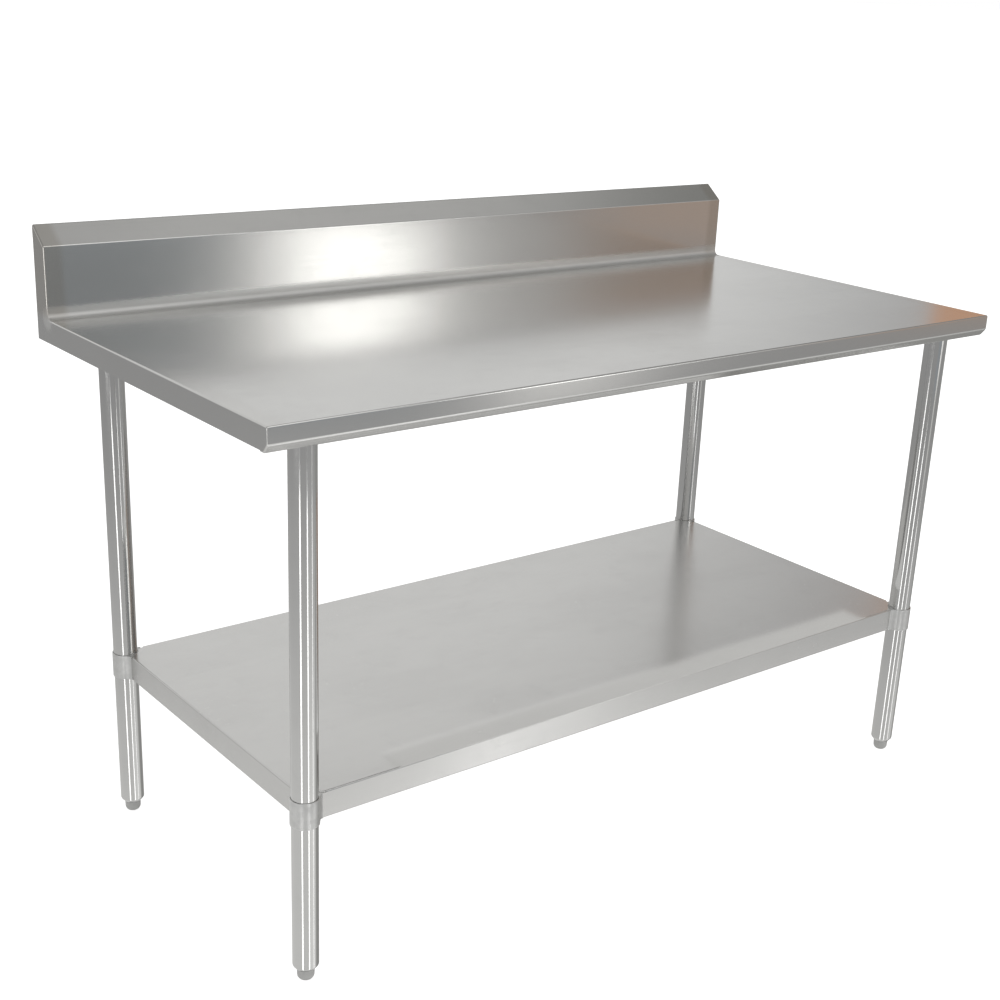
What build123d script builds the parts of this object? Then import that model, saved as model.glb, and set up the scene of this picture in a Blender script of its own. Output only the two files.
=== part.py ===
"""Stainless work table with a splash, an adjustable undershelf and four levelling feet.

Millimetres. +X runs along the table, +Y towards the splash, +Z up.
The origin is on the floor, under the middle of the table.
"""

import os
from math import atan2, cos, tan

from build123d import *

# ---- overall sizes
table_length = 1524.0
table_depth = 762.0
worktop_height = 903.0

# ---- worktop sheet
sheet = 1.5
bend_radius = 3.0
apron_height = 39.0
front_face_height = 26.5
front_bevel_inset = 10.5
front_return = 9.0
splash_rise = 151.0
splash_depth = 42.5
splash_slope_drop = 33.0
cove_radius = 10.0
rear_lip = 25.0

# ---- channels under the worktop
channel_depth = 22.0
end_channel_web = 92.0
long_channel_web = 76.0
channel_flange = 24.0
channel_front_gap = 14.0
channel_rear_gap = 10.0
channel_joint_gap = 2.0
stud_diameter = 6.0
stud_length = 14.0
nut_flats = 10.0
nut_height = 5.0
stud_pitch = 150.0
stud_end_margin = 60.0

# ---- legs and their sockets
leg_diameter = 41.3
leg_wall = 1.5
leg_inset_end = 81.2
leg_inset_front = 49.4
leg_inset_splash = 55.2
leg_end_height = 21.5
leg_taper_height = 5.5
leg_taper_inset = 4.4
leg_shoulder_radius = 3.0
socket_plate = 3.0
socket_plate_margin = 4.0
socket_plate_corner = 6.0
socket_ring_wall = 3.0
socket_ring_height = 16.0
socket_spigot_length = 60.0
socket_spigot_wall = 3.0
press_gap = 0.05
socket_screw_diameter = 6.0
socket_screw_length = 7.0
socket_screw_key = 3.0

# ---- levelling feet
foot_diameter = 27.8
foot_base_inset = 0.6
foot_base_radius = 9.0
foot_length = 40.0
foot_clearance = 0.4
foot_screw_in = 10.0
foot_screw_out = 15.0
foot_stop_gap = 2.0
spindle_diameter = 12.0
spindle_grip = 20.0
spindle_length = 52.0
spindle_clearance = 0.05
spindle_chamfer = 1.0
insert_gap_above_taper = 1.5
insert_web = 5.0
foot_nut_flats = 18.0
foot_nut_height = 10.0

# ---- undershelf
shelf_height = 316.0
shelf_sheet = 1.2
shelf_edge_radius = 2.5
shelf_overhang = 2.9
shelf_flange = 44.7
shelf_return = 12.0
shelf_corner_cut = 40.0
shelf_channel_web = 70.0
shelf_channel_depth = 20.0
shelf_channel_flange = 16.0
shelf_channel_gap = 1.0
collar_wall = 1.6
collar_clearance = 0.35
collar_top_gap = 0.4
collar_ear_length = 30.0
collar_ear_thickness = 3.0
collar_ear_margin = 5.0
collar_screw_diameter = 8.0
collar_screw_length = 12.0
collar_screw_key = 4.0
collar_screw_gap = 0.3
key_depth = 3.0

# ---- places worked out from the sizes above
half_length = table_length / 2
half_depth = table_depth / 2
splash_face_y = half_depth - splash_depth
underside = worktop_height - sheet
apron_bottom = worktop_height - apron_height
leg_radius = leg_diameter / 2
leg_bore_radius = leg_radius - leg_wall
leg_x = half_length - leg_inset_end
front_leg_y = -half_depth + leg_inset_front
rear_leg_y = splash_face_y - leg_inset_splash
channel_bottom = underside - channel_depth
socket_underside = channel_bottom - socket_plate
corners = {
    "front_left": (-leg_x, front_leg_y),
    "front_right": (leg_x, front_leg_y),
    "rear_left": (-leg_x, rear_leg_y),
    "rear_right": (leg_x, rear_leg_y),
}
leg_middle_y = (front_leg_y + rear_leg_y) / 2

slope_angle = atan2(splash_slope_drop, splash_depth)
splash_top = worktop_height + splash_rise
splash_face_top = splash_top - splash_slope_drop

os.makedirs("parts", exist_ok=True)


def save(name, builder):
    """Label a finished piece and write it under its own name."""
    builder.part.label = name
    export_step(builder.part, f"parts/{name}.step")


def inward(point):
    """Unit vector from a leg towards the middle of the table, on the diagonal."""
    x, y = point
    return Vector(-1 if x > 0 else 1, -1 if y > leg_middle_y else 1, 0).normalized()


# ---- worktop -----------------------------------------------------------------


def worktop_section():
    """Section of the folded sheet: turned-under edge, top, cove, splash, slope and rear lip."""
    with BuildSketch(Plane.YZ) as section:
        with BuildLine():
            FilletPolyline(
                (-half_depth + front_bevel_inset + front_return, apron_bottom),
                (-half_depth + front_bevel_inset, apron_bottom),
                (-half_depth, worktop_height - front_face_height),
                (-half_depth, worktop_height),
                (splash_face_y, worktop_height),
                (splash_face_y, splash_face_top),
                (half_depth, splash_top),
                (half_depth, splash_top - rear_lip),
                radius=[bend_radius, bend_radius, bend_radius, cove_radius, bend_radius, bend_radius],
            )
            offset(amount=sheet, side=Side.RIGHT)
        make_face()
    return section.sketch


def apron_outline(plane):
    """Outline of one end of the worktop, from the turned-under edge to the back of the cove."""
    with BuildSketch(plane) as outline:
        with BuildLine():
            skin = FilletPolyline(
                (-half_depth + front_bevel_inset, apron_bottom),
                (-half_depth, worktop_height - front_face_height),
                (-half_depth, worktop_height),
                (splash_face_y, worktop_height),
                (splash_face_y, worktop_height + cove_radius + sheet),
                radius=[bend_radius, bend_radius, cove_radius],
            )
            Polyline(
                skin @ 1,
                (splash_face_y + sheet, worktop_height + cove_radius + sheet),
                (splash_face_y + sheet, apron_bottom),
                skin @ 0,
            )
        make_face()
    return outline.sketch


with BuildPart() as worktop:
    extrude(worktop_section(), amount=half_length, both=True)
    for end_x in (-half_length, half_length - sheet):
        extrude(apron_outline(Plane.YZ.offset(end_x)), amount=sheet)
save("worktop", worktop)


def splash_inside_height(y):
    """Height of the underside of the splash's sloping top at a given y."""
    return splash_face_top + (y - splash_face_y) * tan(slope_angle) - sheet / cos(slope_angle)


def splash_end(plane):
    """Closing plate that fills the end of the splash and carries on down to the apron's edge."""
    front = splash_face_y + sheet
    rear = half_depth - sheet
    inner_radius = bend_radius - sheet
    with BuildSketch(plane) as outline:
        with BuildLine():
            lid = FilletPolyline(
                (front, apron_bottom),
                (front, splash_inside_height(front)),
                (rear, splash_inside_height(rear)),
                (rear, apron_bottom),
                radius=inner_radius,
            )
            Line(lid @ 1, lid @ 0)
        make_face()
    return outline.sketch


for side, end_x in (("left", -half_length), ("right", half_length - sheet)):
    with BuildPart() as end_plate:
        extrude(splash_end(Plane.YZ.offset(end_x)), amount=sheet)
    save(f"splash_end_{side}", end_plate)


# ---- channels under the worktop ------------------------------------------------


def hat_section(plane, top, web, depth, flange, thickness):
    """Top-hat channel section, open side up, its two flanges lying against a sheet at `top`."""
    floor = top - depth + thickness
    with BuildSketch(plane) as section:
        with BuildLine():
            FilletPolyline(
                (-web / 2 - flange, top),
                (-web / 2, top),
                (-web / 2, floor),
                (web / 2, floor),
                (web / 2, top),
                (web / 2 + flange, top),
                radius=thickness,
            )
            offset(amount=thickness, side=Side.RIGHT)
        make_face()
    return section.sketch


end_channel_front = -half_depth + front_bevel_inset + front_return + channel_front_gap
end_channel_rear = splash_face_y - channel_rear_gap
end_channel_half = end_channel_web / 2 + channel_flange
for side, channel_x in (("left", -leg_x), ("right", leg_x)):
    section_plane = Plane(origin=(channel_x, end_channel_front, 0), x_dir=(-1, 0, 0), z_dir=(0, 1, 0))
    with BuildPart() as end_channel:
        section = hat_section(section_plane, underside, end_channel_web, channel_depth, channel_flange, sheet)
        extrude(section, amount=end_channel_rear - end_channel_front)
    save(f"end_channel_{side}", end_channel)

long_channel_half = leg_x - end_channel_half - channel_joint_gap
long_plane = Plane(origin=(0, leg_middle_y, 0), x_dir=(0, 1, 0), z_dir=(1, 0, 0))
with BuildPart() as long_channel:
    section = hat_section(long_plane, underside, long_channel_web, channel_depth, channel_flange, sheet)
    extrude(section, amount=long_channel_half, both=True)
save("long_channel", long_channel)


def spread(low, high, pitch):
    """Evenly spaced places from low to high, about one pitch apart."""
    count = max(2, round((high - low) / pitch) + 1)
    return [low + (high - low) * step / (count - 1) for step in range(count)]


stud_points = []
for channel_x in (-leg_x, leg_x):
    for y in spread(end_channel_front + stud_end_margin, end_channel_rear - stud_end_margin, stud_pitch):
        for sign in (-1, 1):
            stud_points.append((channel_x + sign * (end_channel_web + channel_flange) / 2, y))
for x in spread(-long_channel_half + stud_end_margin, long_channel_half - stud_end_margin, 2 * stud_pitch):
    for sign in (-1, 1):
        stud_points.append((x, leg_middle_y + sign * (long_channel_web + channel_flange) / 2))

stud_seat = underside - sheet
with BuildPart() as studs:
    with BuildSketch(Plane.XY.offset(stud_seat)):
        with Locations(*stud_points):
            Circle(stud_diameter / 2)
    extrude(amount=sheet - stud_length)
save("channel_studs", studs)

with BuildPart() as stud_nuts:
    with BuildSketch(Plane.XY.offset(stud_seat)):
        with Locations(*stud_points):
            RegularPolygon(nut_flats / 2, 6, major_radius=False)
            Circle(stud_diameter / 2 + press_gap, mode=Mode.SUBTRACT)
    extrude(amount=-nut_height)
save("channel_nuts", stud_nuts)


# ---- leg sockets -----------------------------------------------------------------

socket_plate_size = end_channel_web - 2 * socket_plate_margin
socket_bore_radius = leg_radius + press_gap
socket_ring_radius = socket_bore_radius + socket_ring_wall
spigot_radius = leg_bore_radius - press_gap
socket_screw_height = socket_underside - socket_ring_height / 2
for name, (x, y) in corners.items():
    with BuildPart() as socket:
        with BuildSketch(Plane.XY.offset(channel_bottom)):
            with Locations((x, y)):
                RectangleRounded(socket_plate_size, socket_plate_size, socket_plate_corner)
        extrude(amount=-socket_plate)
        with BuildSketch(Plane.XY.offset(socket_underside)):
            with Locations((x, y)):
                Circle(socket_ring_radius)
                Circle(socket_bore_radius, mode=Mode.SUBTRACT)
        extrude(amount=-socket_ring_height)
        with BuildSketch(Plane.XY.offset(socket_underside)):
            with Locations((x, y)):
                Circle(spigot_radius)
                Circle(spigot_radius - socket_spigot_wall, mode=Mode.SUBTRACT)
        extrude(amount=-socket_spigot_length)
        screw_axis = Plane(origin=(x, y, socket_screw_height), z_dir=inward((x, y)))
        with BuildSketch(screw_axis.offset(leg_radius)):
            Circle(socket_screw_diameter / 2 + press_gap)
        extrude(amount=2 * socket_ring_wall, mode=Mode.SUBTRACT)
    save(f"leg_socket_{name}", socket)


def set_screws(height, standoff, diameter, length, key_flats):
    """One headless screw at each leg, pointing at the leg, with a hexagon key hole outside."""
    with BuildPart() as screws:
        for point in corners.values():
            screw_axis = Plane(origin=(*point, height), z_dir=inward(point))
            with BuildSketch(screw_axis.offset(standoff)):
                Circle(diameter / 2)
            extrude(amount=length)
            with BuildSketch(screw_axis.offset(standoff + length)):
                RegularPolygon(key_flats / 2, 6, major_radius=False)
            extrude(amount=-key_depth, mode=Mode.SUBTRACT)
    return screws


socket_screws = set_screws(
    socket_screw_height,
    leg_radius,
    socket_screw_diameter,
    socket_screw_length,
    socket_screw_key,
)
save("socket_set_screws", socket_screws)


# ---- legs and feet -----------------------------------------------------------------

taper_top = leg_end_height + leg_taper_height
insert_bottom = taper_top + leg_wall + insert_gap_above_taper
insert_shoulder = foot_length + foot_screw_in + foot_stop_gap
foot_nut_bottom = insert_shoulder + insert_web
insert_top = foot_nut_bottom + foot_nut_height
spindle_radius = spindle_diameter / 2
spindle_bottom = foot_length - spindle_grip
foot_radius = foot_diameter / 2


def half_section(point, outline):
    """Half section through a round piece on a leg's axis, from (radius, height) points."""
    with BuildSketch(Plane(origin=(*point, 0), x_dir=(1, 0, 0), z_dir=(0, -1, 0))) as section:
        with BuildLine():
            Polyline(*outline, close=True)
        make_face()
    return section.sketch


for name, point in corners.items():
    leg_axis = Axis((*point, 0), (0, 0, 1))
    with BuildPart() as leg:
        section = half_section(
            point,
            [
                (leg_bore_radius, socket_underside),
                (leg_radius, socket_underside),
                (leg_radius, taper_top),
                (leg_radius - leg_taper_inset, leg_end_height),
                (leg_bore_radius - leg_taper_inset, leg_end_height),
                (leg_bore_radius, taper_top),
            ],
        )
        revolve(section, axis=leg_axis)
        shoulder = leg.edges().filter_by(GeomType.CIRCLE).group_by(Axis.Z)[1].sort_by(SortBy.RADIUS)[-1]
        fillet(shoulder, radius=leg_shoulder_radius)
    save(f"leg_{name}", leg)

    insert_radius = leg_bore_radius - press_gap
    with BuildPart() as insert:
        section = half_section(
            point,
            [
                (foot_radius + foot_clearance, insert_bottom),
                (insert_radius, insert_bottom),
                (insert_radius, insert_top),
                (spindle_radius + foot_clearance, insert_top),
                (spindle_radius + foot_clearance, insert_shoulder),
                (foot_radius + foot_clearance, insert_shoulder),
            ],
        )
        revolve(section, axis=leg_axis)
        with BuildSketch(Plane.XY.offset(foot_nut_bottom)):
            with Locations(point):
                RegularPolygon(foot_nut_flats / 2 + press_gap, 6, major_radius=False)
        extrude(amount=foot_nut_height, mode=Mode.SUBTRACT)
    save(f"foot_insert_{name}", insert)

    with BuildPart() as foot:
        section = half_section(
            point,
            [
                (0, 0),
                (foot_radius - foot_base_inset, 0),
                (foot_radius, leg_end_height),
                (foot_radius, foot_length),
                (spindle_radius + press_gap, foot_length),
                (spindle_radius + press_gap, spindle_bottom),
                (0, spindle_bottom),
            ],
        )
        revolve(section, axis=leg_axis)
        fillet(foot.faces().sort_by(Axis.Z)[0].edges(), radius=foot_base_radius)
    save(f"foot_{name}", foot)

    with BuildPart() as spindle:
        with BuildSketch(Plane.XY.offset(spindle_bottom)):
            with Locations(point):
                Circle(spindle_radius)
        extrude(amount=spindle_grip + spindle_length)
        chamfer(spindle.faces().sort_by(Axis.Z)[-1].edges(), length=spindle_chamfer)
    save(f"foot_spindle_{name}", spindle)

with BuildPart() as foot_nuts:
    with BuildSketch(Plane.XY.offset(foot_nut_bottom)):
        with Locations(*corners.values()):
            RegularPolygon(foot_nut_flats / 2, 6, major_radius=False)
            Circle(spindle_radius + spindle_clearance, mode=Mode.SUBTRACT)
    extrude(amount=foot_nut_height)
save("foot_nuts", foot_nuts)


# ---- undershelf ------------------------------------------------------------------------

shelf_half_length = leg_x + shelf_overhang
shelf_depth = rear_leg_y - front_leg_y + 2 * shelf_overhang
shelf_bottom = shelf_height - shelf_flange
shelf_underside = shelf_height - shelf_sheet
collar_bore_radius = leg_radius + collar_clearance
collar_radius = collar_bore_radius + collar_wall
shelf_inner_length = 2 * (shelf_half_length - shelf_sheet)
shelf_inner_depth = shelf_depth - 2 * shelf_sheet

with BuildPart() as undershelf:
    with BuildSketch(Plane.XY.offset(shelf_bottom)):
        with Locations((0, leg_middle_y)):
            Rectangle(2 * shelf_half_length, shelf_depth)
    extrude(amount=shelf_flange)
    fillet(undershelf.faces().sort_by(Axis.Z)[-1].edges(), radius=shelf_edge_radius)
    with BuildSketch(Plane.XY.offset(shelf_bottom + shelf_sheet)):
        with Locations((0, leg_middle_y)):
            Rectangle(shelf_inner_length, shelf_inner_depth)
    extrude(amount=shelf_flange - 2 * shelf_sheet, mode=Mode.SUBTRACT)
    with BuildSketch(Plane.XY.offset(shelf_bottom)):
        with Locations((0, leg_middle_y)):
            Rectangle(shelf_inner_length - 2 * shelf_return, shelf_inner_depth - 2 * shelf_return)
    extrude(amount=shelf_sheet, mode=Mode.SUBTRACT)
    with BuildSketch(Plane.XY.offset(shelf_height)):
        for x, y in corners.values():
            towards = inward((x, y))
            corner_x = x - towards.X / abs(towards.X) * (shelf_overhang - shelf_sheet)
            corner_y = y - towards.Y / abs(towards.Y) * (shelf_overhang - shelf_sheet)
            cut_x = towards.X / abs(towards.X) * shelf_corner_cut
            cut_y = towards.Y / abs(towards.Y) * shelf_corner_cut
            with BuildLine():
                Polyline(
                    (corner_x, corner_y),
                    (corner_x + cut_x, corner_y),
                    (corner_x, corner_y + cut_y),
                    close=True,
                )
            make_face()
    extrude(amount=-2 * shelf_edge_radius, mode=Mode.SUBTRACT)
    with BuildSketch(Plane.XY.offset(shelf_bottom)):
        with Locations(*corners.values()):
            Circle(collar_radius + press_gap)
    extrude(amount=shelf_flange, mode=Mode.SUBTRACT)
save("undershelf", undershelf)

with BuildPart() as shelf_channel:
    section = hat_section(
        long_plane, shelf_underside, shelf_channel_web, shelf_channel_depth, shelf_channel_flange, shelf_sheet
    )
    extrude(section, amount=shelf_inner_length / 2 - shelf_channel_gap, both=True)
save("shelf_channel", shelf_channel)

collar_top = shelf_height - collar_top_gap
collar_screw_height = (shelf_bottom + collar_top) / 2
ear_bottom = shelf_bottom + shelf_sheet + collar_ear_margin
ear_height = shelf_underside - shelf_edge_radius - collar_ear_margin - ear_bottom
ear_reach = collar_radius + collar_ear_length
for name, (x, y) in corners.items():
    towards = inward((x, y))
    sign_x = 1 if towards.X > 0 else -1
    sign_y = 1 if towards.Y > 0 else -1
    flange_inset = shelf_overhang - shelf_sheet
    ear_x = x - sign_x * (flange_inset - collar_ear_thickness / 2)
    ear_y = y - sign_y * (flange_inset - collar_ear_thickness / 2)
    with BuildPart() as collar:
        with BuildSketch(Plane.XY.offset(ear_bottom)):
            with Locations((x + sign_x * ear_reach / 2, ear_y)):
                Rectangle(ear_reach, collar_ear_thickness)
            with Locations((ear_x, y + sign_y * ear_reach / 2)):
                Rectangle(collar_ear_thickness, ear_reach)
        extrude(amount=ear_height)
        with BuildSketch(Plane.XY.offset(shelf_bottom)):
            with Locations((x, y)):
                Circle(collar_radius)
        extrude(amount=collar_top - shelf_bottom)
        with BuildSketch(Plane.XY.offset(shelf_bottom)):
            with Locations((x, y)):
                Circle(collar_bore_radius)
        extrude(amount=collar_top - shelf_bottom, mode=Mode.SUBTRACT)
        screw_axis = Plane(origin=(x, y, collar_screw_height), z_dir=towards)
        with BuildSketch(screw_axis.offset(leg_radius)):
            Circle(collar_screw_diameter / 2 + press_gap)
        extrude(amount=2 * collar_wall, mode=Mode.SUBTRACT)
    save(f"shelf_collar_{name}", collar)

collar_screws = set_screws(
    collar_screw_height,
    leg_radius + collar_screw_gap,
    collar_screw_diameter,
    collar_screw_length,
    collar_screw_key,
)
save("collar_set_screws", collar_screws)
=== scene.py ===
from math import atan2, cos, pi, radians, sin, sqrt, tan

import bmesh
import bpy
from bpy.props import FloatProperty, FloatVectorProperty, IntProperty, PointerProperty
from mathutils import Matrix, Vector


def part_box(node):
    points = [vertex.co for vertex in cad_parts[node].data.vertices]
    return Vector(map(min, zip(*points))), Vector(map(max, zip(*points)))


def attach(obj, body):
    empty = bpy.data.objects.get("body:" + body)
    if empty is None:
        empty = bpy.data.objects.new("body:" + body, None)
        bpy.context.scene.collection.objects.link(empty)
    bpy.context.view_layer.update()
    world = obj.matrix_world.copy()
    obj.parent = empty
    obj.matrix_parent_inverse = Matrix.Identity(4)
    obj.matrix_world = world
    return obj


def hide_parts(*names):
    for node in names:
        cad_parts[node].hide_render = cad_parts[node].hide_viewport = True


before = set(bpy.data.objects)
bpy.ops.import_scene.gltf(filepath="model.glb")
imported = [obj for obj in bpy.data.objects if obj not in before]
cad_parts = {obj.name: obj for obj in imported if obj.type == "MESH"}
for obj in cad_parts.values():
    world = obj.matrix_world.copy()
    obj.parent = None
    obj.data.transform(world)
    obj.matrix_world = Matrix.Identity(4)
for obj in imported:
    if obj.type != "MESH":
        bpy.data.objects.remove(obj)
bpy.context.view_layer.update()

bl_info = {
    "name": "Stainless Work Table",
    "version": (1, 0, 0),
    "blender": (4, 5, 0),
    "location": "3D View > Sidebar > Work Table",
    "description": "Builds the sheets, tubes, collars, feet and finishes of a stainless work table",
    "category": "Add Mesh",
}

CORNERS = ("front_left", "front_right", "rear_left", "rear_right")
TINY = 1e-5
STUD_HOLE = 0.00305  # radius of a nut's bore
STUD_PITCH = 0.001

# ground welds at the ends of the splash: where their tint starts and is full, in from each
# end of the sheet, and down from the sharp fold
WELD_START, WELD_FULL = 0.044, 0.028
WELD_LOW, WELD_HIGH = 0.152, 0.135
# corner of the cove, in from the back and down from the sharp fold, and how far the rougher
# rolled metal reaches from it
COVE_IN, COVE_DOWN = 0.0425, 0.1479
COVE_REACH, COVE_CORE, COVE_ROUGHER = 0.026, 0.008, 0.34

# ---- places read from the frame ----

TOP_LOW, TOP_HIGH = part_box("worktop")
SHELF_LOW, SHELF_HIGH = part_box("undershelf")


def leg_axis(corner):
    """Middle of a leg, as x and y."""
    low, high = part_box(f"leg_{corner}")
    return (low.x + high.x) / 2, (low.y + high.y) / 2


def toward_middle(corner):
    """Signs of the way from a leg to the middle of the table, along X and along Y."""
    return (1 if corner.endswith("left") else -1), (1 if corner.startswith("front") else -1)


# ---- sizes and finishes a user would change ----


def length(name, description, metres):
    """One length that can be changed in the panel."""
    return FloatProperty(
        name=name, description=description, default=metres, min=0.0, unit="LENGTH", precision=5
    )


def tint(name, description, colour):
    """One colour that can be changed in the panel."""
    return FloatVectorProperty(
        name=name, description=description, default=colour, size=3, min=0.0, max=1.0, subtype="COLOR"
    )


def share(name, description, value):
    """One value from 0 to 1 that can be changed in the panel."""
    return FloatProperty(name=name, description=description, default=value, min=0.0, max=1.0)


class WorktopSizes(bpy.types.PropertyGroup):
    sheet: length("Sheet", "Thickness of the worktop's sheet", 0.0015)
    bend_radius: length("Bend radius", "Outer radius of the folds along the table", 0.003)
    cove_radius: length("Cove radius", "Radius where the top turns up into the splash", 0.010)
    face_radius: length("Face radius", "Radius of the fold between the front face and its bevel", 0.008)
    crest_radius: length("Crest radius", "Radius of the sharp fold along the top of the splash", 0.0035)
    end_radius: length("End radius", "Radius of the ground edges at the two ends", 0.0027)
    face_height: length("Front face", "Height of the upright front face", 0.0265)
    bevel_inset: length("Front bevel", "How far the lower front edge leans in", 0.0105)
    front_return: length("Front return", "Width of the lip turned under the front", 0.009)
    splash_depth: length("Splash depth", "Depth of the splash from its face to the back", 0.0425)
    slope_drop: length("Slope drop", "How far the sloping top of the splash falls to its face", 0.033)
    splash_rise: length("Splash rise", "Height of the splash's sharp rear corner over the worktop", 0.151)
    worktop_height: length("Worktop height", "Height of the flat top above the floor", 0.903)
    rear_lip: length("Rear lip", "Height of the lip behind the splash", 0.025)


class ShelfSizes(bpy.types.PropertyGroup):
    sheet: length("Sheet", "Thickness of the undershelf's sheet", 0.0012)
    edge_radius: length("Edge radius", "Outer radius of the fold round the shelf's top", 0.0025)
    corner_cut: length("Corner cut", "How far each corner of the top sheet is cut back", 0.0385)
    return_width: length("Return", "Width of the lip turned under each side", 0.012)
    fillet: length("Weld fillet", "Width of the ground weld between a side and a collar", 0.007)
    collar_wall: length("Collar wall", "Thickness of a collar's ring", 0.0016)
    ear: length("Ear", "Length of the ears welded behind the shelf's sides", 0.030)


class LegSizes(bpy.types.PropertyGroup):
    wall: length("Wall", "Thickness of the leg tube's wall", 0.0015)
    shoulder: length("Shoulder", "Radius of the shoulder over the drawn-in end", 0.004)
    taper_height: length("Taper height", "Height of the drawn-in end", 0.0055)
    taper_inset: length("Taper inset", "How far the end is drawn in", 0.0044)
    foot_edge: length("Foot edge", "Radius round the foot's base", 0.009)
    steps: IntProperty(
        name="Steps", description="Flats round each turned piece", default=64, min=12, max=128
    )


class TableFinish(bpy.types.PropertyGroup):
    sheet_colour: tint("Sheet", "Colour of the polished sheet", (0.62, 0.617, 0.605))
    shelf_colour: tint("Shelf", "Colour of the undershelf's sheet", (0.655, 0.65, 0.638))
    tube_colour: tint("Tube", "Colour of the polished leg tubes", (0.63, 0.628, 0.62))
    collar_colour: tint("Collar", "Colour of the blasted collars", (0.73, 0.73, 0.72))
    zinc_colour: tint("Galvanised", "Colour of the channels under the sheets", (0.50, 0.51, 0.52))
    casting_colour: tint("Casting", "Colour of the cast leg sockets", (0.48, 0.48, 0.48))
    screw_colour: tint("Screws", "Colour of the zinc plated fasteners", (0.58, 0.57, 0.54))
    foot_colour: tint("Foot", "Colour of the moulded feet", (0.70, 0.70, 0.685))
    sheet_roughness: share("Sheet roughness", "Roughness of the worktop's sheet", 0.17)
    shelf_roughness: share("Shelf roughness", "Roughness of the undershelf's sheet", 0.24)
    tube_roughness: share("Tube roughness", "Roughness of the leg tubes", 0.10)


class StageSettings(bpy.types.PropertyGroup):
    camera_place: FloatVectorProperty(
        name="Camera",
        description="Where the camera stands",
        default=(-1.692, -2.0575, 1.4551),
        unit="LENGTH",
    )
    camera_turn: FloatVectorProperty(
        name="Turn",
        description="How the camera is turned",
        default=(radians(69.787), radians(-2.447), radians(-38.029)),
        subtype="EULER",
    )
    lens: FloatProperty(name="Lens", description="Focal length on a 36 mm sensor", default=55.18, min=1.0)
    shift: FloatVectorProperty(
        name="Shift", description="Shift of the lens", default=(-0.0194, 0.0429), size=2
    )
    floor_size: length("Floor", "Width of the floor", 400.0)


# ---- mesh helpers ----


def corner_offset(before, point, after, radius):
    """How far from a corner its rounding starts, so that the arc has this radius."""
    way_in = (Vector(point) - Vector(before)).normalized()
    way_out = (Vector(after) - Vector(point)).normalized()
    return radius * tan(way_in.angle(way_out) / 2)


def round_off(bm, geom, offset, segments=3, affect="EDGES"):
    """Rounds edges, or vertices, from this far to either side of them."""
    bmesh.ops.bevel(
        bm,
        geom=geom,
        offset=offset,
        offset_type="OFFSET",
        affect=affect,
        segments=segments,
        profile=0.5,
        material=-1,
        clamp_overlap=False,
    )


def new_verts(made):
    """The vertices among what an operator made."""
    return [item for item in made if isinstance(item, bmesh.types.BMVert)]


def outline(bm, points, radii, segments=5, closed=False):
    """A chain of edges through the points, with the corners that have a radius rounded."""
    ring = [bm.verts.new(point) for point in points]
    after = ring[1:] + ring[:1]
    for start, end in zip(ring, after) if closed else zip(ring, ring[1:]):
        bm.edges.new((start, end))
    count = len(points)
    jobs = []
    for place, radius in enumerate(radii):
        if radius:
            near, far = points[place - 1], points[(place + 1) % count]
            jobs.append((ring[place], corner_offset(near, points[place], far, radius)))
    for vertex, offset in jobs:
        round_off(bm, [vertex], offset, segments, "VERTICES")


def drawn(points, radii, along, segments=5):
    """Sheet drawn from an outline: every edge of the outline is carried along one vector."""
    bm = bmesh.new()
    outline(bm, points, radii, segments)
    made = bmesh.ops.extrude_edge_only(bm, edges=bm.edges[:])["geom"]
    bmesh.ops.translate(bm, verts=new_verts(made), vec=along)
    return bm


def face_out(bm, direction):
    """Makes the faces agree, with the largest flat one that lies across `direction` facing along it."""
    bmesh.ops.recalc_face_normals(bm, faces=bm.faces[:])
    across = [face for face in bm.faces if abs(face.normal.dot(Vector(direction))) > 0.9]
    largest = max(across, key=lambda face: face.calc_area())
    if largest.normal.dot(Vector(direction)) < 0:
        bmesh.ops.reverse_faces(bm, faces=bm.faces[:])


def turned(points, radii, centre, steps, closed=True, segments=4):
    """Piece turned from an outline of (radius, height) points round an upright axis."""
    bm = bmesh.new()
    outline(bm, [(radius, 0.0, height) for radius, height in points], radii, segments, closed)
    geom = bm.verts[:] + bm.edges[:]
    bmesh.ops.spin(
        bm, geom=geom, cent=(0, 0, 0), axis=(0, 0, 1), angle=2 * pi, steps=steps, use_merge=True
    )
    bmesh.ops.remove_doubles(bm, verts=bm.verts[:], dist=TINY / 10)
    bmesh.ops.recalc_face_normals(bm, faces=bm.faces[:])
    bmesh.ops.translate(bm, verts=bm.verts[:], vec=(centre[0], centre[1], 0))
    return bm


def prism(points, radii, low, high, segments=4):
    """Upright solid between two heights, from an outline of (x, y) points."""
    bm = bmesh.new()
    outline(bm, [(x, y, low) for x, y in points], radii, segments, closed=True)
    base = bmesh.ops.contextual_create(bm, geom=bm.edges[:])["faces"]
    made = bmesh.ops.extrude_face_region(bm, geom=base)["geom"]
    bmesh.ops.translate(bm, verts=new_verts(made), vec=(0, 0, high - low))
    bmesh.ops.recalc_face_normals(bm, faces=bm.faces[:])
    return bm


def join(target, extra):
    """Adds one bmesh to another and frees it."""
    mesh = bpy.data.meshes.new("joined")
    extra.to_mesh(mesh)
    extra.free()
    target.from_mesh(mesh)
    bpy.data.meshes.remove(mesh)


def mesh_from(name, bm, material):
    """Mesh of one material from a bmesh, which is freed."""
    mesh = bpy.data.meshes.new(name)
    bm.to_mesh(mesh)
    bm.free()
    mesh.materials.append(material)
    return mesh


def add_object(name, data):
    """New object in the scene."""
    made = bpy.data.objects.new(name, data)
    bpy.context.scene.collection.objects.link(made)
    return made


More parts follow.
